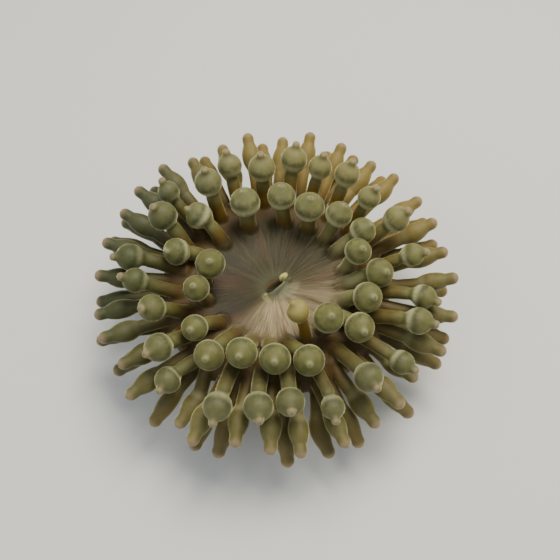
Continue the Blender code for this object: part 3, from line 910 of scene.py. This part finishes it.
@dataclass
class Skin:
    """The one skin of the animal: body and crown joined, with their joints drawn into soft fillets."""

    body: Body
    crown: Crown
    form: TentacleForm
    seed: int = 11
    crease: float = 24.0
    fillet_reaches: tuple[float, ...] = (0.0026, 0.0026, 0.0022, 0.0022, 0.0018, 0.0018, 0.0014, 0.0014)
    weld: float = 0.00012
    sliver: float = 0.00001
    softness: float = 0.5

    def build(self) -> bpy.types.Object:
        """Build the whole skin.

        Returns:
            Its object, at the origin.
        """
        self.crown.grow()
        self.crown.settle()
        LOG.info("crown settled: %d tentacles", len(self.crown.tentacles))
        joined = self.join(self.body.build(), self.branches())
        shell = bmesh.new()
        shell.from_mesh(joined)
        self.put_in_order(shell)
        self.soften(shell)
        for face in shell.faces:
            face.smooth = True
            face.material_index = 0
        open_edges = sum(not edge.is_manifold for edge in shell.edges)
        LOG.info("skin: %d faces, %d edges that do not close", len(shell.faces), open_edges)
        shell.to_mesh(joined)
        shell.free()
        joined.materials.clear()
        return stand("anemone_skin", joined)

    def branches(self) -> list[Mesh]:
        """Build the tentacles in sets whose members stay clear of each other.

        Returns:
            One mesh for each set: every other tentacle of a cycle.
        """
        chance = np.random.default_rng(self.seed)
        sets: defaultdict[tuple[str, int], BMesh] = defaultdict(bmesh.new)
        for index, tentacle in enumerate(self.crown.tentacles):
            mesh = self.form.build(tentacle, index, chance)
            sets[tentacle.cycle.name, tentacle.number % 2].from_mesh(mesh)
            bpy.data.meshes.remove(mesh)
        return [mesh_of(shell, f"branch_{name}_{parity}") for (name, parity), shell in sets.items()]

    def join(self, body: Mesh, branches: Sequence[Mesh]) -> Mesh:
        """Join the tentacles to the body.

        Args:
            body: The body's mesh.
            branches: The tentacles' meshes.

        Returns:
            One closed mesh; the given ones are deleted.
        """
        flesh = [bpy.data.materials.new(kind.name.lower()) for kind in Flesh]
        raw = []
        for mesh in (body, *branches):
            for kind in flesh:
                mesh.materials.append(kind)
            raw.append(stand(mesh.name, mesh))
        trunk, *limbs = raw
        for limb in limbs:
            union = trunk.modifiers.new("Join", "BOOLEAN")
            union.operation = "UNION"
            union.solver = "EXACT"
            union.object = limb
        bpy.context.view_layer.update()
        depsgraph = bpy.context.evaluated_depsgraph_get()
        joined = bpy.data.meshes.new_from_object(
            trunk.evaluated_get(depsgraph), preserve_all_data_layers=True, depsgraph=depsgraph
        )
        for item in (trunk, *limbs):
            bpy.data.meshes.remove(item.data)
        for kind in flesh:
            bpy.data.materials.remove(kind)
        joined.name = "anemone_skin"
        return joined

    def put_in_order(self, shell: BMesh) -> None:
        """Order a shell by where its points lie, because joining leaves another order each time.

        Args:
            shell: The joined skin.
        """
        count = len(shell.verts)

        def rank(member: bmesh.types.BMEdge | bmesh.types.BMFace) -> int:
            """Make one number of the three lowest vertices of an edge or a face."""
            first, second, *others = sorted(vert.index for vert in member.verts)
            return (first * count + second) * count + (others[0] if others else 0)

        places = np.array([vert.co[:] for vert in shell.verts])
        ranks = np.argsort(np.lexsort(places.T)).tolist()
        shell.verts.index_update()
        shell.verts.sort(key=lambda vert: ranks[vert.index])
        shell.verts.index_update()
        shell.edges.sort(key=rank)
        shell.faces.sort(key=rank)

    def is_joint(self, edge: bmesh.types.BMEdge) -> bool:
        """Tell whether the body and a tentacle, or two tentacles, meet along an edge.

        Args:
            edge: An edge of the joined skin.

        Returns:
            True where its faces come from both, or where tentacles meet in a sharp hollow.
        """
        if len(edge.link_faces) != 2:
            return False
        one, other = edge.link_faces
        sharp = edge.calc_face_angle_signed(0.0) < -radians(self.crease)
        crossing = one.material_index == Flesh.TENTACLE.value and sharp
        return crossing or one.material_index != other.material_index

    def soften(self, shell: BMesh) -> None:
        """Draw the joints into fillets by smoothing what lies near them.

        Every list here keeps the shell's order, so that each run makes the same skin.

        Args:
            shell: The joined skin.
        """
        bmesh.ops.dissolve_degenerate(shell, edges=shell.edges[:], dist=self.sliver)
        seam = dict.fromkeys(vert for edge in shell.edges if self.is_joint(edge) for vert in edge.verts)
        bmesh.ops.remove_doubles(shell, verts=list(seam), dist=self.weld)
        marks = [vert.co.copy() for vert in seam if vert.is_valid]
        tree = kdtree.KDTree(len(marks))
        for index, place in enumerate(marks):
            tree.insert(place, index)
        tree.balance()
        reach = max(self.fillet_reaches)
        far = {vert: tree.find(vert.co)[2] for vert in shell.verts}
        ring = dict.fromkeys(face for vert in shell.verts if far[vert] < reach for face in vert.link_faces)
        bmesh.ops.triangulate(shell, faces=[face for face in ring if len(face.verts) > 4])
        for limit in self.fillet_reaches:
            close = [vert for vert, distance in far.items() if distance < limit]
            bmesh.ops.smooth_vert(
                shell, verts=close, factor=self.softness, use_axis_x=True, use_axis_y=True, use_axis_z=True
            )
        LOG.info("joints softened: %d marks", len(marks))


def linear(red: float, green: float, blue: float) -> tuple[float, float, float, float]:
    """Turn a screen colour into the light it stands for.

    Args:
        red: Its red, 0 to 255.
        green: Its green.
        blue: Its blue.

    Returns:
        The linear colour with full alpha.
    """
    shares = [channel / 255.0 for channel in (red, green, blue)]
    light = [share / 12.92 if share <= 0.04045 else ((share + 0.055) / 1.055) ** 2.4 for share in shares]
    return (*light, 1.0)


class Signal:
    """A shader socket that takes part in sums; each operation on it adds a Math node."""

    def __init__(self, graph: "Graph", socket: bpy.types.NodeSocket) -> None:
        """Wrap a socket of a graph."""
        self.graph = graph
        self.socket = socket

    def reckon(self, operation: str, other: Number) -> "Signal":
        """Do one operation with a number or another signal."""
        return self.graph.math(operation, self, other)

    def __rsub__(self, other: float) -> "Signal":
        """Subtract from a number."""
        return self.graph.math("SUBTRACT", other, self)

    __add__ = __radd__ = partialmethod(reckon, "ADD")
    __mul__ = __rmul__ = partialmethod(reckon, "MULTIPLY")
    __sub__ = partialmethod(reckon, "SUBTRACT")
    __truediv__ = partialmethod(reckon, "DIVIDE")


class Graph:
    """The node tree of one material, and short ways to add to it."""

    def __init__(self, name: str) -> None:
        """Make a material with an empty tree.

        Args:
            name: The material's name.
        """
        self.material = bpy.data.materials.new(name)
        self.material.use_nodes = True
        self.tree = self.material.node_tree
        self.tree.nodes.clear()

    def node(self, kind: str, inputs: Mapping[str | int, object], **settings: object) -> list[Signal]:
        """Add any node.

        Args:
            kind: Its type, without the prefix.
            inputs: Values or signals for its sockets, by name or index.
            **settings: What is set on the node itself, first.

        Returns:
            All its outputs.
        """
        made = self.tree.nodes.new(f"ShaderNode{kind}")
        for key, value in settings.items():
            setattr(made, key, value)
        for key, value in inputs.items():
            if isinstance(value, Signal):
                self.tree.links.new(value.socket, made.inputs[key])
            else:
                made.inputs[key].default_value = value
        return [Signal(self, socket) for socket in made.outputs]

    def math(self, operation: str, *values: Number) -> Signal:
        """Add a Math node."""
        return self.node("Math", dict(enumerate(values)), operation=operation)[0]

    def mix(self, share: Number, first: object, second: object) -> Signal:
        """Mix two colours or signals; the share is how much of the second shows."""
        return self.node("Mix", {0: share, 6: first, 7: second}, data_type="RGBA", clamp_factor=True)[2]

    def layer(self, base: object, *coats: tuple[Number, object]) -> Signal:
        """Lay coats of colour over a base.

        Args:
            base: A colour or a signal.
            *coats: How much of each coat shows, and its colour, lowest first.

        Returns:
            The layered colour.
        """
        for share, colour in coats:
            base = self.mix(share, base, colour)
        return base

    def rise(self, value: Signal, low: float, high: float) -> Signal:
        """Rise smoothly from 0 at low to 1 at high.

        Args:
            value: The signal to read.
            low: Where it starts.
            high: Where it ends; below low, the signal falls instead.

        Returns:
            The risen share.
        """
        if high < low:
            return 1.0 - self.rise(value, high, low)
        ends = {0: value, 1: low, 2: high, 3: 0.0, 4: 1.0}
        return self.node("MapRange", ends, interpolation_type="SMOOTHSTEP")[0]

    def hump(self, value: Signal, middle: float, reach: float) -> Signal:
        """Give 1 at a middle, fading to 0 a reach away on both sides."""
        return self.rise(self.math("ABSOLUTE", value - middle), reach, 0.0)

    def point(self, x: Number, y: Number, z: Number) -> Signal:
        """Join three numbers into a vector."""
        return self.node("CombineXYZ", {0: x, 1: y, 2: z})[0]

    def parts(self, vector: Signal) -> list[Signal]:
        """Part a vector into its three numbers."""
        return self.node("SeparateXYZ", {0: vector})

    def noise(self, vector: Signal, scale: float, detail: float = 2.0, roughness: float = 0.5) -> Signal:
        """Read smooth noise, 0 to 1; detail is its octaves, and roughness the strength of the fine ones."""
        inputs = {"Vector": vector, "Scale": scale, "Detail": detail, "Roughness": roughness}
        return self.node("TexNoise", inputs, noise_dimensions="3D")[0]

    def skin_map(self, skin_map: SkinMap) -> list[Signal]:
        """Read the two numbers of one of the skin's UV maps."""
        return self.parts(self.node("UVMap", {}, uv_map=skin_map.value)[0])[:2]

    def surface(self, inputs: Mapping[str, object], **settings: object) -> bpy.types.Material:
        """Close the graph with a Principled surface, and return its material."""
        self.node("OutputMaterial", {"Surface": self.node("BsdfPrincipled", inputs, **settings)[0]})
        return self.material


class FleshGraph(Graph):
    """The graph of the living skin, with the measures and patterns that its colours read."""

    def __init__(self) -> None:
        """Read the skin's places and maps, and draw its rays, folds and streaks."""
        super().__init__("anemone_flesh")
        self.place = self.node("TexCoord", {})[OBJECT_PLACE]
        self.x, self.y, self.z = x, y, z = self.parts(self.place)
        self.reach = self.math("SQRT", x * x + y * y)
        self.along, self.turn = self.skin_map(SkinMap.LENGTH)
        self.offset, self.before_tip = self.skin_map(SkinMap.FORM)
        self.shade, self.outerness = self.skin_map(SkinMap.TRAIT)
        self.on_column = self.rise(z, 0.046, 0.036) * self.rise(self.reach, 0.012, 0.020)
        self.on_limb = self.rise(self.along, 0.0, 0.75)
        self.folds = self.rise(self.noise(self.point(x * 0.4, y * 0.4, z * 2.2), 80.0, 2.0), 0.32, 0.68)
        self.rays = self.draw_rays()
        self.streaks = self.draw_streaks()

    def draw_rays(self) -> Signal:
        """Draw fine rays that run out from the mouth and on down the column.

        Returns:
            Their strength, 0 to 1.
        """
        across, beside = self.x / self.reach, self.y / self.reach
        fine = self.noise(self.point(across, beside, self.reach * 1.1 + self.z), 58.0, 3.0, 0.7)
        broad = self.noise(self.point(across, beside, self.reach * 4.0 + self.z), 7.0, 2.0, 0.5)
        return self.rise(fine * 0.6 + broad * 0.4, 0.36, 0.64)

    def draw_streaks(self) -> Signal:
        """Draw fine streaks that run along each tentacle.

        Returns:
            Their strength, 0 to 1.
        """
        angle = self.turn * FULL_TURN
        across, beside = self.math("COSINE", angle), self.math("SINE", angle)
        where = self.point(across + self.shade * 40.0, beside, self.along * 0.25)
        return self.rise(self.noise(where, 9.0, 3.0, 0.7), 0.32, 0.68)


@dataclass(frozen=True)
class Mouth:
    """Where the finish finds the slit's soft slope, its folds and knobs, and the painted shade of the
    throat.
    """

    throat_top: float = 0.0488
    throat_fade: float = 0.0016
    slope: Blot = Blot(-0.0002, 0.0022, 0.0068, 0.0030)
    fold: Blot = Blot(0.0008, -0.0034, 0.0068, 0.0027)
    pucker: Blot = Blot(0.0040, -0.0076, 0.0090, 0.0040)
    edge: Blot = Blot(-0.0092, -0.0034, 0.0020, 0.0044)
    small_knob: Blot = Blot(-0.0077, -0.0010, 0.0016, 0.0014)
    large_knob: Blot = Blot(0.0076, 0.0013, 0.0033, 0.0021)


@dataclass(frozen=True)
class SkinFinish:
    """The living skin's colours, with painted light and shade among them, and its gloss; colours are linear
    light.
    """

    # The disc's dark rays; this colour is also painted shade over the disc's left side.
    disc_dark_and_shade: tuple = linear(46, 38, 19)
    disc_mid: tuple = linear(82, 74, 42)
    # A lit copy of the disc's colours, painted light on its near right.
    disc_lit_low: tuple = linear(118, 98, 66)
    disc_lit_pale: tuple = linear(188, 172, 136)
    disc_red: tuple = linear(96, 64, 42)
    disc_green: tuple = linear(82, 84, 56)
    lip: tuple = linear(94, 97, 80)
    lip_brown: tuple = linear(84, 60, 34)
    lip_pale: tuple = linear(176, 166, 134)
    knob: tuple = linear(204, 196, 124)
    # Near black: painted shade deep in the mouth's slit.
    throat_shade: tuple = linear(9, 4, 2)
    column_brown: tuple = linear(98, 88, 60)
    foot_tan: tuple = linear(142, 128, 100)
    # The roots' brown, also painted shade on the disc's edge among the stalks.
    root_brown_and_shade: tuple = linear(82, 62, 26)
    stalk_olive: tuple = linear(102, 90, 42)
    stalk_dark: tuple = linear(84, 70, 26)
    # The stray tentacle's amber, also painted glow on the rear stalks.
    amber_and_glow: tuple = linear(122, 90, 20)
    amber_pale: tuple = linear(154, 140, 76)
    # Painted sunlight on the rear outer tentacles.
    sunlit_tan: tuple = linear(146, 120, 44)
    limb_brown: tuple = linear(100, 84, 42)
    bulb_olive: tuple = linear(118, 117, 68)
    bulb_deep: tuple = linear(94, 91, 46)
    bulb_shaded: tuple = linear(50, 60, 34)
    # The grey of the bulbs' dark crescent, also painted shade on the front bulbs of the second cycle.
    bulb_grey_and_shade: tuple = linear(72, 74, 54)
    # The bulbs' pale band, also painted rim glow round the inner bulbs and painted light on the rear bulbs.
    band_cream_and_glow: tuple = linear(206, 202, 158)
    # The nipples' pale, also painted light on the inner stalks at the right.
    nipple_and_stalk_light: tuple = linear(152, 152, 108)
    collar: tuple = linear(92, 90, 42)
    tip_dark: tuple = linear(84, 72, 72)
    tip_pink: tuple = linear(158, 126, 104)
    sheen_tint: tuple = linear(255, 247, 186)
    flesh_radius: tuple = (1.0, 0.72, 0.30)
    flesh_scale: float = 0.0040
    flesh_weight: float = 0.40
    sheen: float = 1.0
    sheen_roughness: float = 0.28
    gloss_index: float = 1.38
    roughness: float = 0.46
    grain_scale: float = 1400.0
    grain_gloss: float = 0.12
    bump_strength: float = 0.35
    bump_depth: float = 0.0005

    def build(self) -> bpy.types.Material:
        """Build the material.

        Returns:
            The skin's material.
        """
        graph = FleshGraph()
        on_column, on_limb = graph.on_column, graph.on_limb
        creases = graph.rays * (1.0 - on_column) * 0.9 + graph.folds * on_column * 1.6
        relief = creases * (1.0 - on_limb) + graph.streaks * on_limb * 0.35
        grain = graph.noise(graph.place, self.grain_scale, 2.0, 0.6)
        height = relief + grain * 0.35
        bump = {"Strength": self.bump_strength, "Distance": self.bump_depth, "Height": height}
        inputs = {
            "Base Color": graph.mix(on_limb, self.body_colour(graph), self.limb_colour(graph)),
            "Roughness": self.roughness + grain * self.grain_gloss,
            "IOR": self.gloss_index,
            "Subsurface Weight": self.flesh_weight,
            "Subsurface Radius": self.flesh_radius,
            "Subsurface Scale": self.flesh_scale,
            "Sheen Weight": self.sheen,
            "Sheen Roughness": self.sheen_roughness,
            "Sheen Tint": self.sheen_tint,
            "Normal": graph.node("Bump", bump)[0],
        }
        return graph.surface(inputs, subsurface_method="RANDOM_WALK")

    def body_colour(self, graph: FleshGraph) -> Signal:
        """Colour the oral disc, the mouth, the column and the foot, with painted light on the disc's near
        right and painted shade on its left, at its edge and in the throat.

        Args:
            graph: The skin's graph.

        Returns:
            The colour.
        """
        rise, x, y, reach = graph.rise, graph.x, graph.y, graph.reach
        # Painted light: a broad lit patch and a brighter wedge on the disc's near right, with edges wavered
        # by noise.
        drift = graph.noise(graph.point(x, y, 0.0), 30.0, 2.0) * 0.016
        broad = rise(x * 0.7 - y * 1.1 + drift, 0.008, 0.042) * 0.34
        painted_light_wedge = rise(x * 0.9 - y + drift, 0.010, 0.022) * (0.88 - rise(x, -0.002, 0.020) * 0.68)
        patches = graph.noise(graph.point(x / reach, y / reach, reach * 9.0), 2.4, 1.0)
        red = rise(patches, 0.50, 0.68) * graph.hump(reach, 0.028, 0.018)
        disc = graph.layer(
            graph.mix(graph.rays, self.disc_dark_and_shade, self.disc_mid),
            # Painted light on the near right of the disc.
            (broad + painted_light_wedge * rise(y, 0.010, -0.004), graph.mix(graph.rays, self.disc_lit_low, self.disc_lit_pale)),
            # Painted shade over the disc's left side.
            (rise(x + y * 0.3, -0.004, -0.030) * 0.7, self.disc_dark_and_shade),
            (red * 0.35, self.disc_red),
            (rise(reach, 0.014, 0.006) * 0.75, self.disc_green),
            # A brown ring at the disc's edge among the roots: partly their own brown, partly painted shade
            # between the stalks.
            (rise(reach, 0.034, 0.046), self.root_brown_and_shade),
            *self.mouth_coats(graph),
        )
        ribs = graph.math("SINE", graph.math("ARCTAN2", y, x) * 48.0)
        column = graph.layer(
            self.column_brown,
            (graph.folds * 0.45, self.foot_tan),
            (rise(ribs, 0.2, 1.0) * 0.22, self.foot_tan),
            (rise(graph.z, 0.012, 0.0) * 0.8, self.foot_tan),
        )
        return graph.mix(graph.on_column, disc, column)

    def mouth_coats(self, graph: FleshGraph) -> list[tuple[Signal, tuple]]:
        """Colour the lips and the knobs at the slit's ends, and paint shade deep in the throat.

        Args:
            graph: The skin's graph.

        Returns:
            Their coats, for the disc.
        """
        mouth = Mouth()
        along, across = beside_slit(graph.x, graph.y)
        blots = (
            (mouth.slope, 0.75, self.lip_brown),
            (mouth.fold, 0.9, self.lip),
            (mouth.pucker, 0.25, self.lip_pale),
            (mouth.edge, 0.2, self.knob),
            (mouth.small_knob, 0.4, self.lip_pale),
            (mouth.large_knob, 0.95, self.knob),
        )
        coats = [
            (graph.rise(blot.apart(along, across), 1.0, 0.3) * strength, colour)
            for blot, strength, colour in blots
        ]
        # Painted shade: near black deep in the slit, below the throat's top and close to the axis.
        throat_shade_mask = graph.rise(graph.z, mouth.throat_top, mouth.throat_top - mouth.throat_fade)
        return [*coats, (throat_shade_mask * graph.rise(graph.reach, 0.0085, 0.0075), self.throat_shade)]

    def limb_colour(self, graph: FleshGraph) -> Signal:
        """Colour a tentacle from its root to its tip, with the painted glow, light and shade of the crown.

        Args:
            graph: The skin's graph.

        Returns:
            The colour.
        """
        rise, hump, x, y, streaks = graph.rise, graph.hump, graph.x, graph.y, graph.streaks
        along, offset, before_tip, outerness = graph.along, graph.offset, graph.before_tip, graph.outerness
        mottle = graph.noise(graph.place, 240.0, 3.0, 0.6)
        spots = rise(mottle, 0.35, 0.65)
        # Painted glow on the rear of the crown: amber on the stalks, cream on the bulbs.
        rear_glow = rise(y, 0.0, 0.05)
        stalk = graph.layer(
            self.stalk_olive,
            (spots * 0.6 + graph.shade * 0.2, self.stalk_dark),
            (rise(along, 1.5, 0.1), self.root_brown_and_shade),
            (streaks * 0.10, self.bulb_olive),
            (rear_glow * 0.6, self.amber_and_glow),
            # Painted light on the inner stalks at the right, in the nipples' pale.
            (rise(x, 0.015, 0.040) * rise(outerness, 0.25, 0.0) * 0.6, self.nipple_and_stalk_light),
        )
        bulb = graph.layer(
            self.bulb_olive,
            (spots * 0.55 + graph.shade * 0.3, self.bulb_deep),
            (rear_glow * 0.12, self.band_cream_and_glow),
        )
        lowered = offset + outerness * 0.9
        clear = 1.0 - rise(outerness, 0.2, 1.0) * 0.7
        grey = hump(lowered, 0.40, 0.42) * clear * rise(mottle + streaks * 0.25, 0.45, 0.75)
        # The pale band by each bulb's neck; on the inner bulbs it sits near the equator, where it is also
        # painted rim glow at their outlines.
        band_and_rim_glow = hump(lowered, -0.08, 0.44) * (0.55 + streaks * 0.45) * clear
        shaded = rise(y * 0.25 - x, 0.030, 0.095) * rise(along, 0.0, 1.0)
        # Painted shade on the front bulbs of the second cycle, in the bulbs' grey.
        low = rise(y, -0.020, -0.075) * hump(outerness, 0.35, 0.35)
        # Painted sunlight in tan on the rear outer tentacles.
        painted_sunlight = rise(x * 0.4 + y * 0.9, 0.020, 0.095) * rise(outerness, 0.0, 0.7)
        pink = rise(before_tip, 4.6, 0.2) * rise(outerness, 0.1, 0.5)
        return graph.layer(
            graph.mix(rise(offset, -2.2, -0.8), stalk, bulb),
            (grey * 0.75, self.bulb_grey_and_shade),
            (band_and_rim_glow * 0.85, self.band_cream_and_glow),
            (rise(outerness, 0.3, 1.0) * 0.75, self.limb_brown),
            (shaded * 0.75, self.bulb_shaded),
            # Painted shade on the front second-cycle bulbs.
            (low * 0.4, self.bulb_grey_and_shade),
            (painted_sunlight * 0.6, self.sunlit_tan),
            (hump(before_tip, 3.4, 1.6) * clear * 0.35, self.collar),
            (rise(before_tip, 3.0, 0.8) * (0.55 - outerness * 0.25), self.nipple_and_stalk_light),
            (pink * 0.5, self.tip_pink),
            (rise(before_tip, 0.26, 0.03) * (0.75 - outerness * 0.75), self.tip_dark),
            (
                rise(outerness, -0.2, -0.8) * 0.85,
                graph.mix(rise(offset, -1.2, 0.5), self.amber_and_glow, self.amber_pale),
            ),
        )


@dataclass
class Studio:
    """A plain pale floor, soft light from above and behind, and the camera that looks down on the crown."""

    floor_half: float = 3.0
    floor_colour: tuple = linear(226, 224, 218)
    sky_colour: tuple = linear(220, 228, 232)
    sky_strength: float = 0.55
    elevation: float = 60.0
    distance: float = 0.444
    lens: float = 50.0
    sensor: float = 36.0
    aim_right: float = 0.0029
    aim_up: float = 0.0046

    def build(self) -> None:
        """Set the floor, the lights and the camera."""
        self.lay_floor()
        self.light_sky()
        self.hang_light("key", (0.22, 0.26, 1.12), 0.6, 16.0, linear(255, 250, 238))
        self.hang_light("fill", (-0.7, -0.5, 0.8), 1.0, 3.0, linear(232, 240, 255))
        self.place_camera()

    def lay_floor(self) -> None:
        """Lay the floor."""
        shell = bmesh.new()
        bmesh.ops.create_grid(shell, x_segments=2, y_segments=2, size=self.floor_half)
        floor = stand("floor", mesh_of(shell, "floor"))
        paint = {"Base Color": self.floor_colour, "Roughness": 0.8}
        floor.data.materials.append(Graph("floor_paint").surface(paint))

    def light_sky(self) -> None:
        """Fill the room with soft light from everywhere."""
        world = bpy.data.worlds.new("soft_room")
        world.use_nodes = True
        background = world.node_tree.nodes["Background"]
        background.inputs["Color"].default_value = self.sky_colour
        background.inputs["Strength"].default_value = self.sky_strength
        bpy.context.scene.world = world

    def hang_light(
        self, name: str, place: tuple[float, float, float], size: float, power: float, colour: tuple
    ) -> None:
        """Hang a square soft light that faces the anemone.

        Args:
            name: Its name.
            place: Where it hangs.
            size: Its side, in metres.
            power: Its power, in watts.
            colour: Its linear colour.
        """
        lamp = bpy.data.lights.new(name, "AREA")
        lamp.size = size
        lamp.energy = power
        lamp.color = colour[:3]
        item = stand(name, lamp)
        item.location = place
        aim = Vector((0.0, 0.0, RIM_HEIGHT)) - Vector(place)
        item.rotation_euler = aim.to_track_quat("-Z", "Y").to_euler()

    def place_camera(self) -> None:
        """Place the camera in front of the anemone, looking down on its mouth."""
        lift = radians(self.elevation)
        back = Vector((0.0, -cos(lift), sin(lift)))
        up = Vector((0.0, sin(lift), cos(lift)))
        mouth = Vector((0.0, 0.0, RIM_HEIGHT - MOUTH_DEPTH))
        data = bpy.data.cameras.new("camera")
        data.lens = self.lens
        data.sensor_width = self.sensor
        data.clip_start = 0.01
        camera = stand("camera", data)
        aside = Vector((self.aim_right, 0.0, 0.0))
        camera.location = mouth + back * self.distance + aside + up * self.aim_up
        camera.rotation_euler = (-back).to_track_quat("-Z", "Y").to_euler()
        bpy.context.scene.camera = camera


def main() -> None:
    """Build the skin, dress it and set the studio."""
    logging.basicConfig(level=logging.INFO)
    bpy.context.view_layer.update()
    skin = Skin(Body(), Crown(), TentacleForm()).build()
    skin.data.materials.append(SkinFinish().build())
    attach(skin, BODY)
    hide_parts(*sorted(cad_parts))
    LOG.info("%s: %d faces, in place of %d nodes", skin.name, len(skin.data.polygons), len(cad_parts))
    Studio().build()


if __name__ == "__main__":
    main()
